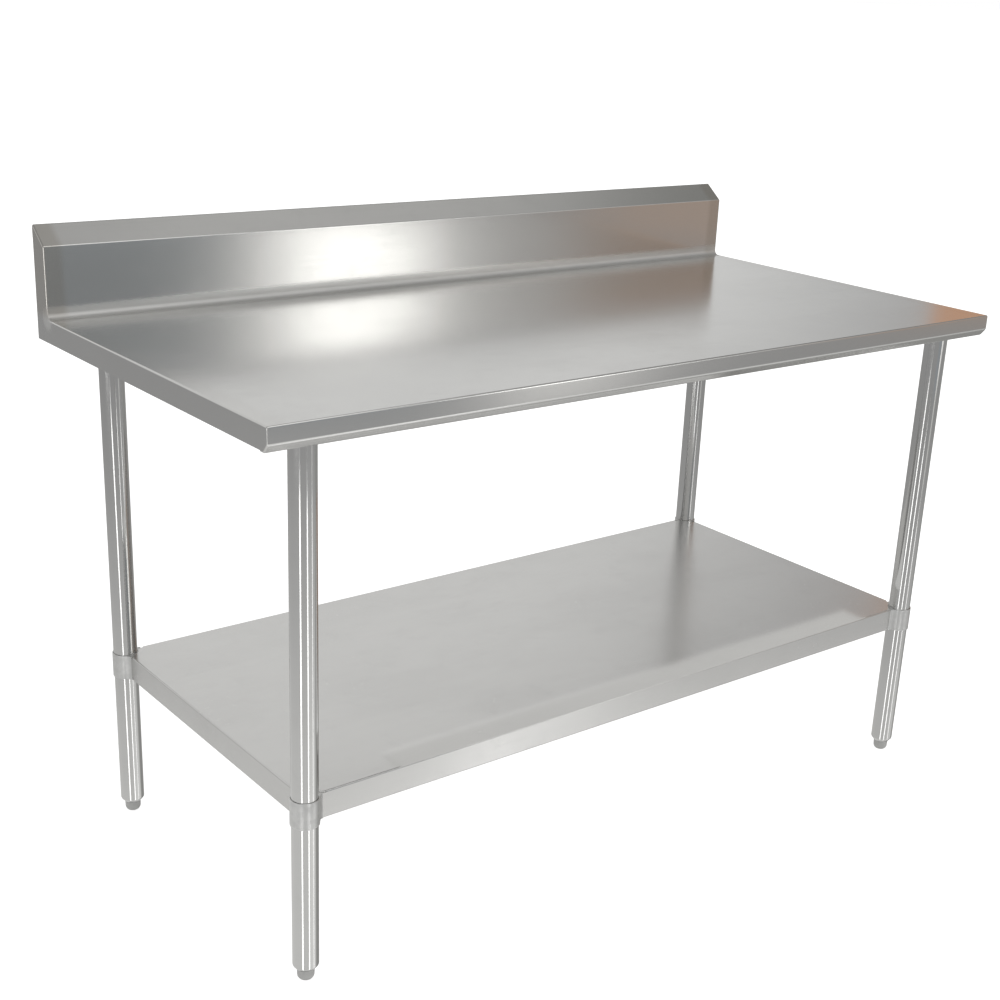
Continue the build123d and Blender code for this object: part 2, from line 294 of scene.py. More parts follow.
def refinish(nodes, material):
    """Gives a finish to CAD nodes that are shown as they are."""
    for node in nodes:
        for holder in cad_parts[node].material_slots:
            holder.material = material


def add_piece(name, bm, slot, body, nodes, sharp_angle=32.0):
    """Turns a bmesh into a shown piece that rides on a body and stands for its CAD nodes."""
    mesh = mesh_from(name, bm, finish(slot))
    mesh.polygons.foreach_set("use_smooth", [True] * len(mesh.polygons))
    mesh.set_sharp_from_angle(angle=radians(sharp_angle))
    piece = add_object(name, mesh)
    weighted = piece.modifiers.new("weighted normals", "WEIGHTED_NORMAL")
    weighted.keep_sharp = True
    weighted.weight = 50
    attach(piece, body)
    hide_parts(*nodes)


# ---- shader helpers ----


def add_node(tree, kind, inputs=None, **settings):
    """A node with its settings made and its inputs linked or set."""
    made = tree.nodes.new(kind)
    for key, value in settings.items():
        setattr(made, key, value)
    for key, value in (inputs or {}).items():
        if isinstance(value, bpy.types.NodeSocket):
            tree.links.new(value, made.inputs[key])
        else:
            made.inputs[key].default_value = value
    return made


def noise(tree, vector, scale, detail=2.0, roughness=0.5):
    """Noise value from a vector."""
    inputs = {"Vector": vector, "Scale": scale, "Detail": detail, "Roughness": roughness}
    return add_node(tree, "ShaderNodeTexNoise", inputs).outputs["Fac"]


def remap(tree, value, low, high, to_low=0.0, to_high=1.0, smooth=True):
    """A value moved from one range to another."""
    inputs = {"Value": value, "From Min": low, "From Max": high, "To Min": to_low, "To Max": to_high}
    kind = "SMOOTHSTEP" if smooth else "LINEAR"
    return add_node(tree, "ShaderNodeMapRange", inputs, interpolation_type=kind).outputs["Result"]


def maths(tree, operation, first, second=0.0):
    """One sum of two values."""
    return add_node(tree, "ShaderNodeMath", {0: first, 1: second}, operation=operation).outputs[0]


def scaled(tree, vector, factors):
    """A vector multiplied part by part."""
    return add_node(tree, "ShaderNodeVectorMath", {0: vector, 1: factors}, operation="MULTIPLY").outputs[0]


def blended(tree, mask, first, second, kind="RGBA"):
    """Two colours mixed by a mask."""
    mix = tree.nodes.new("ShaderNodeMix")
    mix.data_type = kind
    ends = [socket for socket in mix.inputs if socket.enabled]
    for socket, value in zip(ends, (mask, first, second)):
        if isinstance(value, bpy.types.NodeSocket):
            tree.links.new(value, socket)
        else:
            socket.default_value = value
    return [socket for socket in mix.outputs if socket.enabled][0]


def shader_group(name, inputs, outputs, fill):
    """A node group with named sockets, filled by a function."""
    group = bpy.data.node_groups.get(name)
    if group:
        return group
    group = bpy.data.node_groups.new(name, "ShaderNodeTree")
    for label, kind, default in inputs:
        socket = group.interface.new_socket(name=label, in_out="INPUT", socket_type=kind)
        if default is not None:
            socket.default_value = default
    for label, kind in outputs:
        group.interface.new_socket(name=label, in_out="OUTPUT", socket_type=kind)
    entry = group.nodes.new("NodeGroupInput")
    leave = group.nodes.new("NodeGroupOutput")
    for label, value in fill(group, entry.outputs).items():
        group.links.new(value, leave.inputs[label])
    return group


def placed_group(tree, group, inputs):
    """One use of a node group in a tree."""
    return add_node(tree, "ShaderNodeGroup", inputs, node_tree=group).outputs


FLOAT, VECTOR = "NodeSocketFloat", "NodeSocketVector"


def brush_grain():
    """Fine lines of a brushed sheet. Lines is how many cross a metre along each axis."""

    def fill(tree, entry):
        lines = scaled(tree, entry["Vector"], entry["Lines"])
        fine = noise(tree, lines, 1.0, 2.0, 0.6)
        broad = noise(tree, lines, 0.18, 2.0, 0.5)
        height = maths(tree, "ADD", maths(tree, "MULTIPLY", fine, 0.6), maths(tree, "MULTIPLY", broad, 0.4))
        streak = remap(tree, broad, 0.3, 0.7)
        return {"Height": height, "Streak": streak}

    inputs = [("Vector", VECTOR, None), ("Lines", VECTOR, (12.0, 1800.0, 1800.0))]
    return shader_group("brush_grain", inputs, [("Height", FLOAT), ("Streak", FLOAT)], fill)


def handling_marks():
    """Wiped smudges, faint finger marks and a few hair scratches."""

    def fill(tree, entry):
        place = entry["Vector"]
        cloud = remap(tree, noise(tree, scaled(tree, place, (1.0, 1.6, 1.6)), 5.0, 4.0, 0.55), 0.35, 0.7)
        dabs = remap(tree, noise(tree, place, 34.0, 2.0, 0.5), 0.56, 0.7)
        smudge = maths(tree, "ADD", maths(tree, "MULTIPLY", cloud, 0.7), maths(tree, "MULTIPLY", dabs, 0.3))
        turned_place = add_node(tree, "ShaderNodeMapping", {"Vector": place, "Rotation": (0.3, 0.5, 0.7)})
        hairs = noise(tree, scaled(tree, turned_place.outputs[0], (5.0, 420.0, 420.0)), 1.0, 1.0, 0.5)
        scratch = remap(tree, hairs, 0.74, 0.79)
        return {"Smudge": maths(tree, "MULTIPLY", smudge, entry["Amount"]), "Scratch": scratch}

    inputs = [("Vector", VECTOR, None), ("Amount", FLOAT, 1.0)]
    return shader_group("handling_marks", inputs, [("Smudge", FLOAT), ("Scratch", FLOAT)], fill)


def sheet_waves():
    """Slow waves of a rolled and folded sheet that is never quite flat."""

    def fill(tree, entry):
        slow = noise(tree, scaled(tree, entry["Vector"], (1.0, 1.5, 1.5)), entry["Waves"], 1.0, 0.4)
        return {"Height": slow}

    inputs = [("Vector", VECTOR, None), ("Waves", FLOAT, 3.0)]
    return shader_group("sheet_waves", inputs, [("Height", FLOAT)], fill)


def cast_skin():
    """Pebbled skin of castings, zinc and mouldings."""

    def fill(tree, entry):
        pebbles = noise(tree, entry["Vector"], entry["Scale"], 3.0, 0.6)
        patches = remap(tree, noise(tree, entry["Vector"], 90.0, 3.0, 0.6), 0.35, 0.65)
        return {"Height": pebbles, "Patches": patches}

    inputs = [("Vector", VECTOR, None), ("Scale", FLOAT, 1500.0)]
    return shader_group("cast_skin", inputs, [("Height", FLOAT), ("Patches", FLOAT)], fill)


def bare_tree(owner):
    """Node tree of a material or world, emptied."""
    owner.use_nodes = True
    owner.node_tree.nodes.clear()
    return owner.node_tree


def show(tree, shader, kind="Material"):
    """Links a shader to the tree's output."""
    leave = tree.nodes.new(f"ShaderNodeOutput{kind}")
    tree.links.new(shader, leave.inputs["Surface"])


def new_material(name, metallic, roughness):
    """Material with a Principled shader, and the vectors that its patterns read."""
    material = bpy.data.materials.new(name)
    tree = bare_tree(material)
    shader = tree.nodes.new("ShaderNodeBsdfPrincipled")
    shader.inputs["Metallic"].default_value = metallic
    shader.inputs["Roughness"].default_value = roughness
    show(tree, shader.outputs[0])
    places = tree.nodes.new("ShaderNodeTexCoord")
    return material, tree, shader, places.outputs


def dress(tree, shader, colour, roughness, layers):
    """Links the colour, the roughness and stacked heights, each with its depth in metres."""
    normal = None
    for height, depth in layers:
        inputs = {"Height": height, "Distance": depth, "Strength": 1.0}
        if normal:
            inputs["Normal"] = normal
        normal = add_node(tree, "ShaderNodeBump", inputs).outputs["Normal"]
    for key, value in (("Base Color", colour), ("Roughness", roughness), ("Normal", normal)):
        tree.links.new(value, shader.inputs[key])


def grain_direction(tree, places):
    """Object place with X and Y swapped on faces that look along X, so that the grain runs along them."""
    parts = add_node(tree, "ShaderNodeSeparateXYZ", {0: places["Object"]}).outputs
    swapped = add_node(tree, "ShaderNodeCombineXYZ", {0: parts[1], 1: parts[0], 2: parts[2]}).outputs[0]
    facing = add_node(tree, "ShaderNodeSeparateXYZ", {0: places["Normal"]}).outputs[0]
    mask = maths(tree, "GREATER_THAN", maths(tree, "ABSOLUTE", facing), 0.7)
    return blended(tree, mask, places["Object"], swapped, "VECTOR")


def sheet_material(name, colour, roughness, weld_at=None):
    """Brushed and wiped stainless sheet. weld_at is the half length at whose ends the welds are ground."""
    material, tree, shader, places = new_material(name, 1.0, roughness)
    along = grain_direction(tree, places)
    grain = placed_group(tree, brush_grain(), {"Vector": along, "Lines": (14.0, 1700.0, 1700.0)})
    marks = placed_group(tree, handling_marks(), {"Vector": places["Object"], "Amount": 1.0})
    waves = placed_group(tree, sheet_waves(), {"Vector": places["Object"], "Waves": 3.2})
    base = (*colour, 1.0)
    dull = (*(part * 0.90 for part in colour), 1.0)
    toned = blended(tree, maths(tree, "MULTIPLY", grain["Streak"], 0.07), base, dull)
    toned = blended(tree, maths(tree, "MULTIPLY", marks["Smudge"], 0.35), toned, dull)
    rough = remap(tree, grain["Streak"], 0.0, 1.0, roughness - 0.004, roughness + 0.006, False)
    rough = maths(tree, "ADD", rough, maths(tree, "MULTIPLY", marks["Smudge"], 0.03))
    rough = maths(tree, "ADD", rough, maths(tree, "MULTIPLY", marks["Scratch"], 0.03))
    layers = [(waves["Height"], 0.0003), (grain["Height"], 0.0000012)]
    if weld_at:
        parts = add_node(tree, "ShaderNodeSeparateXYZ", {0: places["Object"]}).outputs
        ragged = maths(tree, "MULTIPLY", noise(tree, places["Object"], 9.0, 1.0, 0.5), 0.008)
        reach = maths(tree, "SUBTRACT", maths(tree, "ABSOLUTE", parts[0]), ragged)
        ends = remap(tree, reach, weld_at - WELD_START, weld_at - WELD_FULL)
        over = remap(tree, parts[2], TOP_HIGH.z - WELD_LOW, TOP_HIGH.z - WELD_HIGH)
        weld = maths(tree, "MULTIPLY", ends, over)
        heated = (colour[0] * 0.80, colour[1] * 0.765, colour[2] * 0.72, 1.0)
        toned = blended(tree, maths(tree, "MULTIPLY", weld, 0.7), toned, heated)
        rough = maths(tree, "ADD", rough, maths(tree, "MULTIPLY", weld, 0.03))
        corner = {0: places["Object"], 1: (0.0, TOP_HIGH.y - COVE_IN, TOP_HIGH.z - COVE_DOWN)}
        off = add_node(tree, "ShaderNodeVectorMath", corner, operation="SUBTRACT").outputs[0]
        off = scaled(tree, off, (0.0, 1.0, 1.0))
        away = add_node(tree, "ShaderNodeVectorMath", {0: off}, operation="LENGTH").outputs["Value"]
        cove = remap(tree, away, COVE_REACH, COVE_CORE, 0.0, COVE_ROUGHER)
        rough = maths(tree, "ADD", rough, cove)
    dress(tree, shader, toned, rough, layers)
    return material


def tube_material(name, colour, roughness):
    """Belt polished tube, with fine lines round it, smudges and hair scratches."""
    material, tree, shader, places = new_material(name, 1.0, roughness)
    grain = placed_group(tree, brush_grain(), {"Vector": places["Object"], "Lines": (60.0, 60.0, 1900.0)})
    marks = placed_group(tree, handling_marks(), {"Vector": places["Object"], "Amount": 0.8})
    base = (*colour, 1.0)
    dull = (*(part * 0.88 for part in colour), 1.0)
    toned = blended(tree, maths(tree, "MULTIPLY", marks["Smudge"], 0.4), base, dull)
    rough = remap(tree, grain["Streak"], 0.0, 1.0, roughness - 0.01, roughness + 0.02, False)
    rough = maths(tree, "ADD", rough, maths(tree, "MULTIPLY", marks["Smudge"], 0.04))
    layers = [(grain["Height"], 0.0000025), (marks["Scratch"], 0.000002)]
    dress(tree, shader, toned, rough, layers)
    return material


def skin_material(name, colour, metallic, roughness, scale, depth, spread=0.12, patch=0.85):
    """Casting, blasted steel, zinc or moulding: a pebbled skin with duller patches."""
    material, tree, shader, places = new_material(name, metallic, roughness)
    skin = placed_group(tree, cast_skin(), {"Vector": places["Object"], "Scale": scale})
    marks = placed_group(tree, handling_marks(), {"Vector": places["Object"], "Amount": 1.0})
    base = (*colour, 1.0)
    dull = (*(part * patch for part in colour), 1.0)
    toned = blended(tree, skin["Patches"], base, dull)
    toned = blended(tree, maths(tree, "MULTIPLY", marks["Smudge"], 0.3), toned, dull)
    rough = remap(tree, skin["Patches"], 0.0, 1.0, roughness - spread / 2, roughness + spread / 2, False)
    dress(tree, shader, toned, rough, [(skin["Height"], depth)])
    return material


def finish(slot):
    """The material of one slot, made the first time it is asked for."""
    name = f"{slot}_finish"
    ready = bpy.data.materials.get(name)
    if ready:
        return ready
    table = bpy.context.scene.table_finish
    # colour, metal, roughness, grains across a metre, their depth, spread of the roughness
    # and brightness of the duller patches
    skins = {
        "collar_steel": (table.collar_colour, 1.0, 0.42, 2200.0, 0.00003, 0.08, 0.92),
        "channel_steel": (table.zinc_colour, 1.0, 0.45, 260.0, 0.00002, 0.2, 0.72),
        "socket_casting": (table.casting_colour, 1.0, 0.5, 1300.0, 0.00009),
        "fastener_steel": (table.screw_colour, 1.0, 0.3, 900.0, 0.00001),
        "foot_plastic": (table.foot_colour, 0.0, 0.5, 1800.0, 0.00004, 0.08, 0.93),
    }
    if slot in skins:
        return skin_material(name, *skins[slot])
    if slot == "leg_tube":
        return tube_material(name, table.tube_colour, table.tube_roughness)
    if slot == "worktop_steel":
        return sheet_material(name, table.sheet_colour, table.sheet_roughness, TOP_HIGH.x)
    return sheet_material(name, table.shelf_colour, table.shelf_roughness)


# ---- worktop and undershelf ----


class WORKTABLE_OT_worktop(bpy.types.Operator):
    """One folded and welded sheet: front edge, top, cove, splash and both ends"""

    bl_idname = "worktable.worktop"
    bl_label = "Worktop"

    def execute(self, context):
        size = context.scene.worktop_sizes
        front, back = TOP_LOW.y, TOP_HIGH.y
        top, bottom = size.worktop_height, TOP_LOW.z
        face = back - size.splash_depth
        crest = top + size.splash_rise
        points = [
            (front + size.bevel_inset + size.front_return, bottom),
            (front + size.bevel_inset, bottom),
            (front, top - size.face_height),
            (front, top),
            (face, top),
            (face, crest - size.slope_drop),
            (back, crest),
            (back, crest - size.rear_lip),
        ]
        bend = size.bend_radius
        radii = [0, bend, size.face_radius, bend, size.cove_radius, bend, size.crest_radius, 0]
        left = TOP_LOW.x
        section = [(left, y, z) for y, z in points]
        bm = drawn(section, radii, (TOP_HIGH.x - left, 0, 0), 6)
        for x in (left, TOP_HIGH.x):
            ring = [v for v in bm.verts if abs(v.co.x - x) < TINY]
            heel = bm.verts.new((x, back, bottom))
            lip = min((v for v in ring if abs(v.co.y - back) < TINY), key=lambda v: v.co.z)
            toe = max((v for v in ring if abs(v.co.z - bottom) < TINY), key=lambda v: v.co.y)
            bm.edges.new((lip, heel))
            bm.edges.new((heel, toe))
            loop = [e for e in bm.edges if all(abs(v.co.x - x) < TINY for v in e.verts)]
            bmesh.ops.contextual_create(bm, geom=loop)
        face_out(bm, (0, 0, 1))
        ground = [
            e for e in bm.edges
            if len(e.link_faces) == 2 and abs(e.verts[0].co.x - e.verts[1].co.x) < TINY
        ]
        round_off(bm, ground, size.end_radius, 4)
        bmesh.ops.solidify(bm, geom=bm.faces[:], thickness=size.sheet)
        nodes = ["worktop", "splash_end_left", "splash_end_right"]
        add_piece("worktop_shell", bm, "worktop_steel", "frame", nodes)
        return {"FINISHED"}


class WORKTABLE_OT_undershelf(bpy.types.Operator):
    """Folded pan of the undershelf, with its top cut back at each leg"""

    bl_idname = "worktable.undershelf"
    bl_label = "Undershelf"

    def execute(self, context):
        size = context.scene.shelf_sizes
        low, high = SHELF_LOW, SHELF_HIGH
        collar_radius = leg_axis("front_left")[0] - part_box("shelf_collar_front_left")[0].x
        corners = [(low.x, low.y), (high.x, low.y), (high.x, high.y), (low.x, high.y)]
        bm = bmesh.new()
        ring = [bm.verts.new((x, y, high.z)) for x, y in corners]
        bm.faces.new(ring)
        round_off(bm, ring, size.corner_cut, 1, "VERTICES")
        centre_y, half_y = (low.y + high.y) / 2, (high.y - low.y) / 2
        sides = []
        for edge in bm.edges[:]:
            if edge.calc_length() > 4 * size.corner_cut:
                middle = (edge.verts[0].co + edge.verts[1].co) / 2
                outward = (round(middle.x / high.x), round((middle.y - centre_y) / half_y), 0)
                sides.append((edge, Vector(outward)))
        for edge, outward in sides:
            drop = bmesh.ops.extrude_edge_only(bm, edges=[edge])["geom"]
            fallen = new_verts(drop)
            bmesh.ops.translate(bm, verts=fallen, vec=(0, 0, low.z - high.z))
            hem = [
                item for item in drop
                if isinstance(item, bmesh.types.BMEdge) and all(v in fallen for v in item.verts)
            ]
            turned_in = bmesh.ops.extrude_edge_only(bm, edges=hem)["geom"]
            bmesh.ops.translate(bm, verts=new_verts(turned_in), vec=-outward * size.return_width)
            round_off(bm, [edge], size.edge_radius, 5)
            round_off(bm, [item for item in hem if item.is_valid], 2 * size.sheet, 3)
        past_axis = abs(high.x) - abs(leg_axis("front_left")[0])
        gap = size.corner_cut - past_axis - sqrt(collar_radius**2 - past_axis**2)
        corner_area = 0.05  # how far along its side an open end can be from its corner
        for corner in CORNERS:
            inward = toward_middle(corner)
            tip = (-inward[0] * high.x, low.y if inward[1] > 0 else high.y)
            for axis, other in ((0, 1), (1, 0)):
                plane = tip[axis] + inward[axis] * size.corner_cut
                ends = [
                    e for e in bm.edges
                    if len(e.link_faces) == 1
                    and all(abs(v.co[axis] - plane) < TINY for v in e.verts)
                    and all((v.co[other] - tip[other]) * inward[other] < corner_area for v in e.verts)
                ]
                made = bmesh.ops.extrude_edge_only(bm, edges=ends)["geom"]
                way = Vector((0, 0, 0))
                way[axis] = -inward[axis]
                bmesh.ops.translate(bm, verts=new_verts(made), vec=way * gap)
        bmesh.ops.remove_doubles(bm, verts=bm.verts[:], dist=TINY)
        face_out(bm, (0, 0, 1))
        bmesh.ops.solidify(bm, geom=bm.faces[:], thickness=size.sheet)
        add_piece("undershelf_pan", bm, "shelf_steel", "shelf", ["undershelf"])
        return {"FINISHED"}


# ---- channels, sockets and fasteners under the worktop ----


class WORKTABLE_OT_channels(bpy.types.Operator):
    """Top-hat channels that stiffen the worktop and the undershelf"""

    bl_idname = "worktable.channels"
    bl_label = "Channels"

    def execute(self, context):
        along_x, along_y = 0, 1
        wide, narrow = (0.024, 0.0015), (0.016, 0.0012)  # width of each flange, and its sheet
        jobs = [
            ("end_channel_left", "frame", along_y, wide),
            ("end_channel_right", "frame", along_y, wide),
            ("long_channel", "frame", along_x, wide),
            ("shelf_channel", "shelf", along_x, narrow),
        ]
        for node, body, axis, (flange, sheet) in jobs:
            low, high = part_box(node)
            side_low, side_high = low[1 - axis], high[1 - axis]
            outline_points = [
                (side_low, high.z),
                (side_low + flange, high.z),
                (side_low + flange, low.z + sheet),
                (side_high - flange, low.z + sheet),
                (side_high - flange, high.z),
                (side_high, high.z),
            ]
            if axis == along_y:
                section = [(side, low.y, z) for side, z in outline_points]
                along = (0, high.y - low.y, 0)
            else:
                section = [(low.x, side, z) for side, z in outline_points]
                along = (high.x - low.x, 0, 0)
            bm = drawn(section, [0, sheet, sheet, sheet, sheet, 0], along, 4)
            face_out(bm, (0, 0, 1))
            bmesh.ops.solidify(bm, geom=bm.faces[:], thickness=sheet)
            add_piece(f"{node}_section", bm, "channel_steel", body, [node])
        return {"FINISHED"}


class WORKTABLE_OT_sockets(bpy.types.Operator):
    """Cast sockets that hold the tops of the legs"""

    bl_idname = "worktable.sockets"
    bl_label = "Leg sockets"

    def execute(self, context):
        legs = context.scene.leg_sizes
        plate = ring_wall = wall = 0.003
        ring_height, gap = 0.016, 0.00005
        plate_corner, plate_edge = 0.006, 0.0006
        for corner in CORNERS:
            low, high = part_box(f"leg_socket_{corner}")
            x, y = leg_axis(corner)
            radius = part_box(f"leg_{corner}")[1].x - x
            under = high.z - plate
            square = [(low.x, low.y), (high.x, low.y), (high.x, high.y), (low.x, high.y)]
            bm = prism(square, [plate_corner] * 4, under, high.z, 5)
            rim = [e for e in bm.edges if abs(e.verts[0].co.z - e.verts[1].co.z) < TINY]
            round_off(bm, rim, plate_edge, 2)
            bore, outer = radius + gap, radius + gap + ring_wall
            ring = [
                (bore, under),
                (bore, under - ring_height),
                (outer - 0.0002, under - ring_height),
                (outer, under - ring_wall),
                (outer + 0.002, under),
            ]
            join(bm, turned(ring, [0, 0.0008, 0.001, 0.002, 0], (x, y), legs.steps))
            inner = radius - legs.wall - gap
            spigot = [(inner, under), (inner, low.z), (inner - wall, low.z), (inner - wall, under)]
            join(bm, turned(spigot, [0, 0.001, 0.001, 0], (x, y), legs.steps))
            add_piece(f"socket_{corner}", bm, "socket_casting", "frame", [f"leg_socket_{corner}"])
        return {"FINISHED"}


def threaded_rod(x, y, radius, low, high, pitch, steps=12):
    """Rod with a ridge for each turn of its thread, and a pointed end."""
    core = radius - 0.6 * pitch
    points = [(0.0, high), (core, high)]
    turns = int((high - low) / pitch)
    for turn in range(turns):
        start = high - turn * pitch
        points += [(radius, start - 0.4 * pitch), (core, start - 0.9 * pitch)]
    points += [(core * 0.8, low), (0.0, low)]
    return turned(points, [0] * len(points), (x, y), steps, closed=False)


def hexagon_nut(x, y, flats, bore, low, high):
    """Nut with chamfered corners and a countersunk bore."""
    bm = bmesh.new()
    corner_radius = flats / 2 / cos(pi / 6)
    made = bmesh.ops.create_circle(bm, cap_ends=False, radius=corner_radius, segments=6)["verts"]
    bmesh.ops.translate(bm, verts=made, vec=(0, 0, low))
    bmesh.ops.subdivide_edges(bm, edges=bm.edges[:], cuts=1)
    ring = bm.edges[:]
    hole = bmesh.ops.create_circle(bm, cap_ends=False, radius=bore, segments=12)["verts"]
    bmesh.ops.translate(bm, verts=hole, vec=(0, 0, low))
    inner = [e for e in bm.edges if e.verts[0] in hole and e.verts[1] in hole]
    face = bmesh.ops.bridge_loops(bm, edges=ring + inner)["faces"]
    made = bmesh.ops.extrude_face_region(bm, geom=face)["geom"]
    bmesh.ops.translate(bm, verts=new_verts(made), vec=(0, 0, high - low))
    bmesh.ops.recalc_face_normals(bm, faces=bm.faces[:])
    rims = [
        e for e in bm.edges
        if abs(e.verts[0].co.z - e.verts[1].co.z) < TINY
        and len(e.link_faces) == 2
        and e.calc_face_angle() > 1.0
    ]
    round_off(bm, rims, 0.0005, 1)
    bmesh.ops.translate(bm, verts=bm.verts[:], vec=(x, y, 0))
    return bm


def islands(node):
    """Low and high corners of each separate solid of a CAD node."""
    bm = bmesh.new()
    bm.from_mesh(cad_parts[node].data)
    bmesh.ops.remove_doubles(bm, verts=bm.verts[:], dist=TINY / 10)
    left = set(bm.verts)
    boxes = []
    while left:
        reached = {left.pop()}
        fresh = list(reached)
        while fresh:
            vertex = fresh.pop()
            for edge in vertex.link_edges:
                other = edge.other_vert(vertex)
                if other not in reached:
                    reached.add(other)
                    fresh.append(other)
        left -= reached
        spots = [v.co for v in reached]
        low = Vector(min(spot[axis] for spot in spots) for axis in range(3))
        high = Vector(max(spot[axis] for spot in spots) for axis in range(3))
        boxes.append((low, high))
    bm.free()
    return sorted(boxes, key=lambda pair: tuple(pair[0]))


class WORKTABLE_OT_fasteners(bpy.types.Operator):
    """Weld studs with their nuts, and the headless set screws in sockets and collars"""

    bl_idname = "worktable.fasteners"
    bl_label = "Fasteners"

    def execute(self, context):
        studs = bmesh.new()
        for low, high in islands("channel_studs"):
            x, y, radius = (low.x + high.x) / 2, (low.y + high.y) / 2, (high.x - low.x) / 2
            join(studs, threaded_rod(x, y, radius, low.z, high.z, STUD_PITCH))
        slot = "fastener_steel"
        add_piece("threaded_studs", studs, slot, "frame", ["channel_studs"], 50.0)
        nuts = bmesh.new()
        for low, high in islands("channel_nuts"):
            x, y = (low.x + high.x) / 2, (low.y + high.y) / 2
            flats = min(high.x - low.x, high.y - low.y)
            join(nuts, hexagon_nut(x, y, flats, STUD_HOLE, low.z, high.z))
        add_piece("hexagon_nuts", nuts, slot, "frame", ["channel_nuts"])
        spindles = [f"foot_spindle_{corner}" for corner in CORNERS]
        refinish(["socket_set_screws", "collar_set_screws", "foot_nuts", *spindles], finish(slot))
        return {"FINISHED"}


# ---- legs, feet and collars ----


class WORKTABLE_OT_legs(bpy.types.Operator):
    """Polished tubes with their drawn-in lower ends"""

    bl_idname = "worktable.legs"
    bl_label = "Legs"

    def execute(self, context):
        size = context.scene.leg_sizes
        for corner in CORNERS:
            low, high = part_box(f"leg_{corner}")
            x, y = leg_axis(corner)
            radius = high.x - x
            bore = radius - size.wall
            shoulder = low.z + size.taper_height
            points = [
                (bore, high.z),
                (radius, high.z),
                (radius, shoulder),
                (radius - size.taper_inset, low.z),
                (bore - size.taper_inset, low.z),
                (bore, shoulder),
            ]
            edge = size.wall / 4
            radii = [edge, edge, size.shoulder, edge, edge, size.shoulder / 2]
            bm = turned(points, radii, (x, y), size.steps)
            add_piece(f"tube_{corner}", bm, "leg_tube", "frame", [f"leg_{corner}"])
            refinish([f"foot_insert_{corner}"], finish("foot_plastic"))
        return {"FINISHED"}


class WORKTABLE_OT_feet(bpy.types.Operator):
    """Moulded bullet feet that screw in and out of the legs"""

    bl_idname = "worktable.feet"
    bl_label = "Feet"

    def execute(self, context):
        size = context.scene.leg_sizes
        for corner in CORNERS:
            low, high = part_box(f"foot_{corner}")
            x, y = leg_axis(corner)
            radius = high.x - x
            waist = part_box(f"leg_{corner}")[0].z
            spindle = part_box(f"foot_spindle_{corner}")
            bore = (spindle[1].x - spindle[0].x) / 2
            points = [
                (0.0, low.z),
                (radius - 0.0006, low.z),
                (radius, waist),
                (radius, high.z),
                (bore, high.z),
                (bore, spindle[0].z),
                (0.0, spindle[0].z),
            ]
            radii = [0, size.foot_edge, 0, 0.001, 0, 0, 0]
            bm = turned(points, radii, (x, y), size.steps, closed=False, segments=6)
            foot = f"foot_{corner}"
            add_piece(f"bullet_{foot}", bm, "foot_plastic", foot, [foot])
        return {"FINISHED"}


class WORKTABLE_OT_collars(bpy.types.Operator):
    """Collars that clamp the undershelf to the legs, with ears and ground weld fillets"""

    bl_idname = "worktable.collars"
    bl_label = "Shelf collars"

    def execute(self, context):
        size = context.scene.shelf_sizes
        legs = context.scene.leg_sizes
        ear_sheet, ear_lift, ear_drop = 0.003, 0.005, 0.0087
        web_bottom, web_top = 0.0035, 0.0015  # below the collar's upper rim
        for corner in CORNERS:
            low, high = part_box(f"shelf_collar_{corner}")
            x, y = leg_axis(corner)
            sign_x, sign_y = toward_middle(corner)
            outer = abs((low.x if sign_x > 0 else high.x) - x)
            bore, middle = outer - size.collar_wall, outer - size.collar_wall / 2
            rim = size.collar_wall * 0.35
            points = [(bore, high.z), (outer, high.z), (outer, low.z), (bore, low.z)]
            bm = turned(points, [rim / 2, rim, rim, rim / 2], (x, y), legs.steps)
            past, cut = SHELF_HIGH.x - abs(x), size.corner_cut
            ear_low, ear_high = SHELF_LOW.z + size.sheet + ear_lift, SHELF_HIGH.z - ear_drop
            for swap in (False, True):
                reach = sqrt(outer**2 - past**2)
                near, far = reach - 0.001, outer + size.ear
                inside, outside = size.sheet - past, size.sheet - past + ear_sheet
                plate = [(near, inside), (far, inside), (far, outside), (near, outside)]
                weld = [
                    (sqrt(middle**2 - past**2), -past),
                    (reach + size.fillet, -past),
                    (reach + size.fillet * 0.45, -past - size.fillet * 0.12),
                    (reach + size.fillet * 0.12, -past - size.fillet * 0.45),
                    (sqrt(outer**2 - (past + size.fillet) ** 2), -past - size.fillet),
                    (sqrt(middle**2 - (past + size.fillet * 0.8) ** 2), -past - size.fillet * 0.8),
                ]
                turns = (pi / 4, pi / 9, -pi / 45)
                arc = [(middle * cos(angle), middle * sin(angle)) for angle in turns]
                web = [*arc, (cut - past, inside)]
                shapes = (
                    (plate, ear_low, ear_high),
                    (weld, low.z + rim, high.z - rim),
                    (web, high.z - web_bottom, high.z - web_top),
                )
                for shape, bottom, top in shapes:
                    spots = [(v, u) if swap else (u, v) for u, v in shape]
                    placed = [(x + sign_x * u, y + sign_y * v) for u, v in spots]
                    join(bm, prism(placed, [0] * len(placed), bottom, top))
            nodes = [f"shelf_collar_{corner}"]
            add_piece(f"collar_{corner}", bm, "collar_steel", "shelf", nodes, 40.0)
        return {"FINISHED"}


# ---- stage ----


def stage_material(name, strength, colour):
    """Plain glowing card."""
    material = bpy.data.materials.new(name)
    tree = bare_tree(material)
    glow = add_node(tree, "ShaderNodeEmission", {"Color": (*colour, 1.0), "Strength": strength})
    show(tree, glow.outputs[0])
    return material


def add_panel(name, corners, colour, strength):
    """Flat card through four corners that shows only in reflections."""
    bm = bmesh.new()
    bm.faces.new([bm.verts.new(corner) for corner in corners])
    card = add_object(name, mesh_from(name, bm, stage_material(name, strength, colour)))
    card.visible_camera = False
    card.visible_diffuse = False
    card.visible_shadow = False


